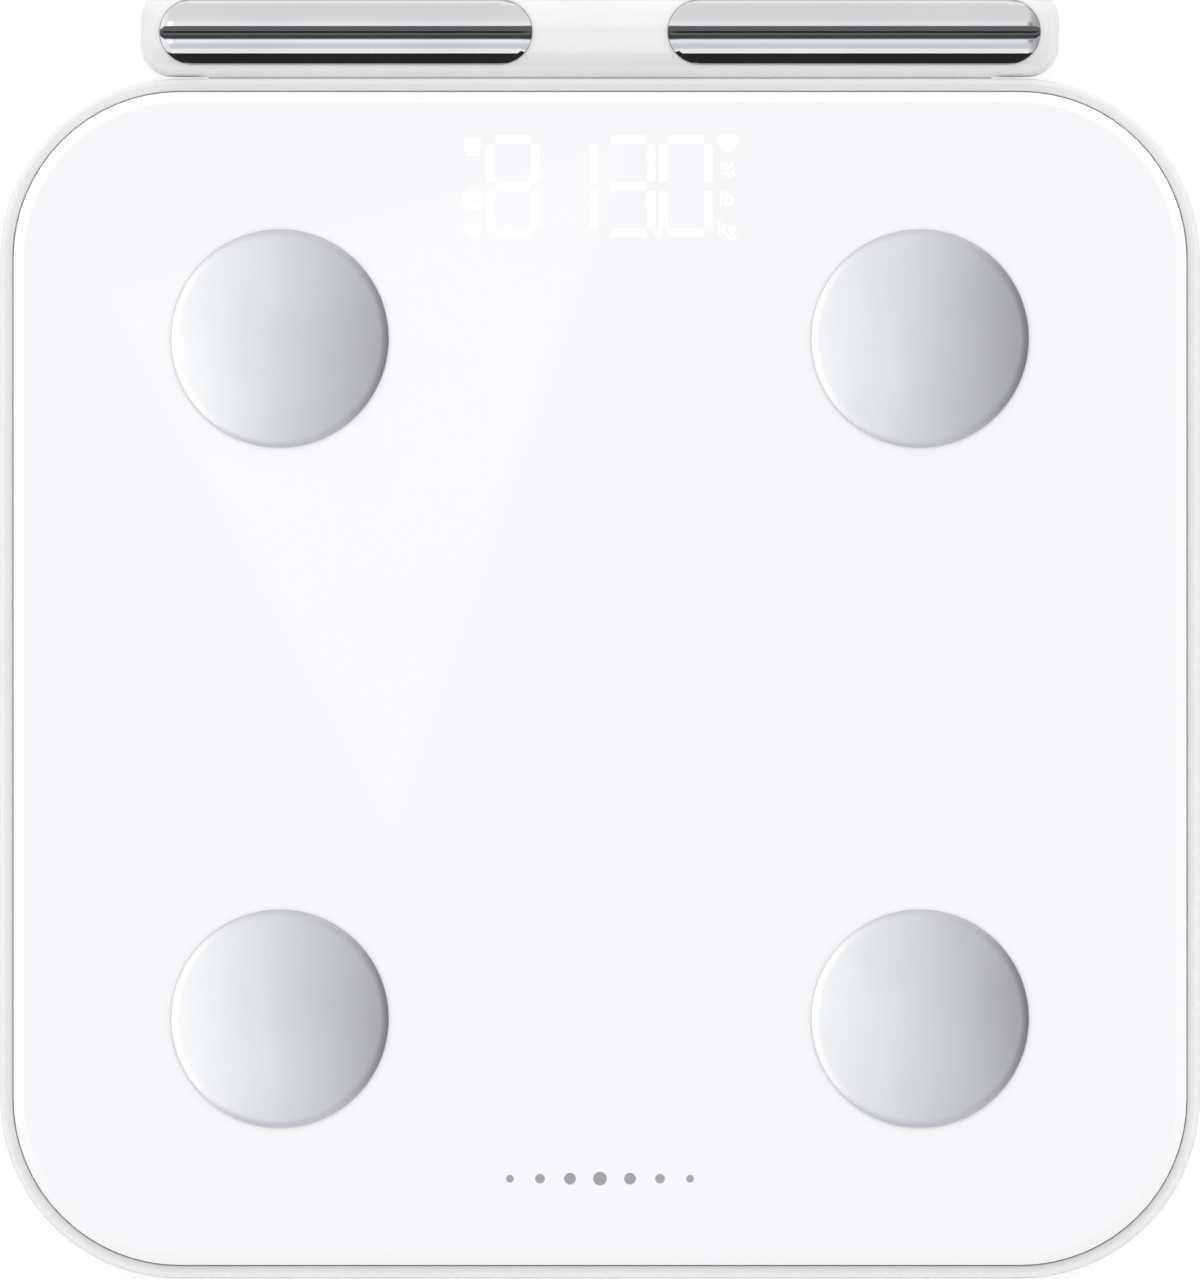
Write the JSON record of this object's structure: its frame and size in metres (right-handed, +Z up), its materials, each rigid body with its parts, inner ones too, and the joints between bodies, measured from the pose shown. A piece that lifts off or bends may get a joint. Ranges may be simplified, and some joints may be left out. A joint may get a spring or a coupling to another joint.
{
  "type": "digital bathroom scale",
  "caption": "Square glass-topped electronic body scale with round steel foot electrodes and a chrome-gripped hand bar docked at its rear edge on a retracting cord.",
  "frame": {"origin": "on the floor, under the middle of the whole object's outline, platform and docked bar together", "axes": "+Z up, +Y towards the docked hand bar, +X to the right of someone who stands on the platform and faces the bar"},
  "size_m": [0.3, 0.3228, 0.0299],
  "materials": {
    "gloss_white": "gloss",
    "glass_white": "polished, printed white on its back",
    "diffuser": "matte",
    "white_plastic": "matte",
    "grey_plastic": "satin",
    "rubber": "matte",
    "foam": "matte",
    "satin_steel": "satin",
    "chrome": "polished",
    "spring_steel": "satin",
    "brass": "satin",
    "circuit_board": "satin",
    "black_plastic": "matte",
    "cord_sleeve": "matte",
    "cell": "satin",
    "magnet": "nickel plated"
  },
  "bodies": {
    "base": {"base_tray": "gloss_white", "rim_frame": "gloss_white", "glass_plate": "glass_white", "glass_tape": "foam", "display_housing": "white_plastic", "display_diffuser": "diffuser", "display_board": "circuit_board", "main_board": "circuit_board", "unit_switch": "black_plastic", "battery_1": "cell", "battery_2": "cell", "battery_3": "cell", "battery_4": "cell", "battery_contacts_left": "brass", "battery_contacts_right": "brass", "wiring_loom": "cord_sleeve", "reel_axle": "spring_steel", "reel_housing": "grey_plastic", "brush_board": "circuit_board", "cord_lead": "cord_sleeve", "cord_gland": "rubber", "cord_riser": "cord_sleeve", "dock_magnet_left": "magnet", "dock_magnet_right": "magnet", "foot_electrode_front_left": "satin_steel", "foot_electrode_front_right": "satin_steel", "foot_electrode_rear_left": "satin_steel", "foot_electrode_rear_right": "satin_steel", "electrode_nut_front_left": "brass", "electrode_nut_front_right": "brass", "electrode_nut_rear_left": "brass", "electrode_nut_rear_right": "brass", "load_cell_front_left": "spring_steel", "load_cell_front_right": "spring_steel", "load_cell_rear_left": "spring_steel", "load_cell_rear_right": "spring_steel", "foot_pad_front_left": "rubber", "foot_housing_front_left": "grey_plastic", "foot_pad_front_right": "rubber", "foot_housing_front_right": "grey_plastic", "foot_pad_rear_left": "rubber", "foot_housing_rear_left": "grey_plastic", "foot_pad_rear_right": "rubber", "foot_housing_rear_right": "grey_plastic"},
    "battery_door": {"battery_door": "gloss_white"},
    "unit_button": {"unit_button": "grey_plastic"},
    "reel": {"cord_reel": "grey_plastic", "cord_winding": "cord_sleeve", "slip_ring_disc": "circuit_board", "reel_spring": "spring_steel"},
    "hand_bar": {"handle_upper_shell": "gloss_white", "handle_lower_shell": "gloss_white", "hand_electrode_upper_left": "chrome", "hand_electrode_upper_right": "chrome", "hand_electrode_lower_left": "chrome", "hand_electrode_lower_right": "chrome", "handle_board": "circuit_board", "handle_keeper_left": "spring_steel", "handle_keeper_right": "spring_steel", "handle_cord_boot": "rubber"}
  },
  "joints": [
    {"name": "hand_bar_lift", "type": "slide", "parent": "base", "child": "hand_bar", "axis": [0, 0, 1], "range_m": [0, 1], "deforming": ["cord_riser"]},
    {"name": "reel_spin", "type": "hinge", "parent": "base", "child": "reel", "pos_m": [-0.0235, 0.0506, 0.013], "axis": [0, 0, 1], "range_deg": [0, 2440], "stiffness_Nm_per_rad": 0.0009, "springref_deg": -3437.75},
    {"name": "battery_door_hinge", "type": "hinge", "parent": "base", "child": "battery_door", "pos_m": [0, -0.0228, 0.007], "axis": [1, 0, 0], "range_deg": [0, 85]},
    {"name": "unit_button_press", "type": "slide", "parent": "base", "child": "unit_button", "axis": [0, 0, 1], "range_m": [0, 0.0008], "stiffness_N_per_m": 800, "springref_m": -0.0005}
  ],
  "couplings": [
    {"joint": "reel_spin", "follows": "hand_bar_lift", "rad_per_m": 42.553}
  ]
}
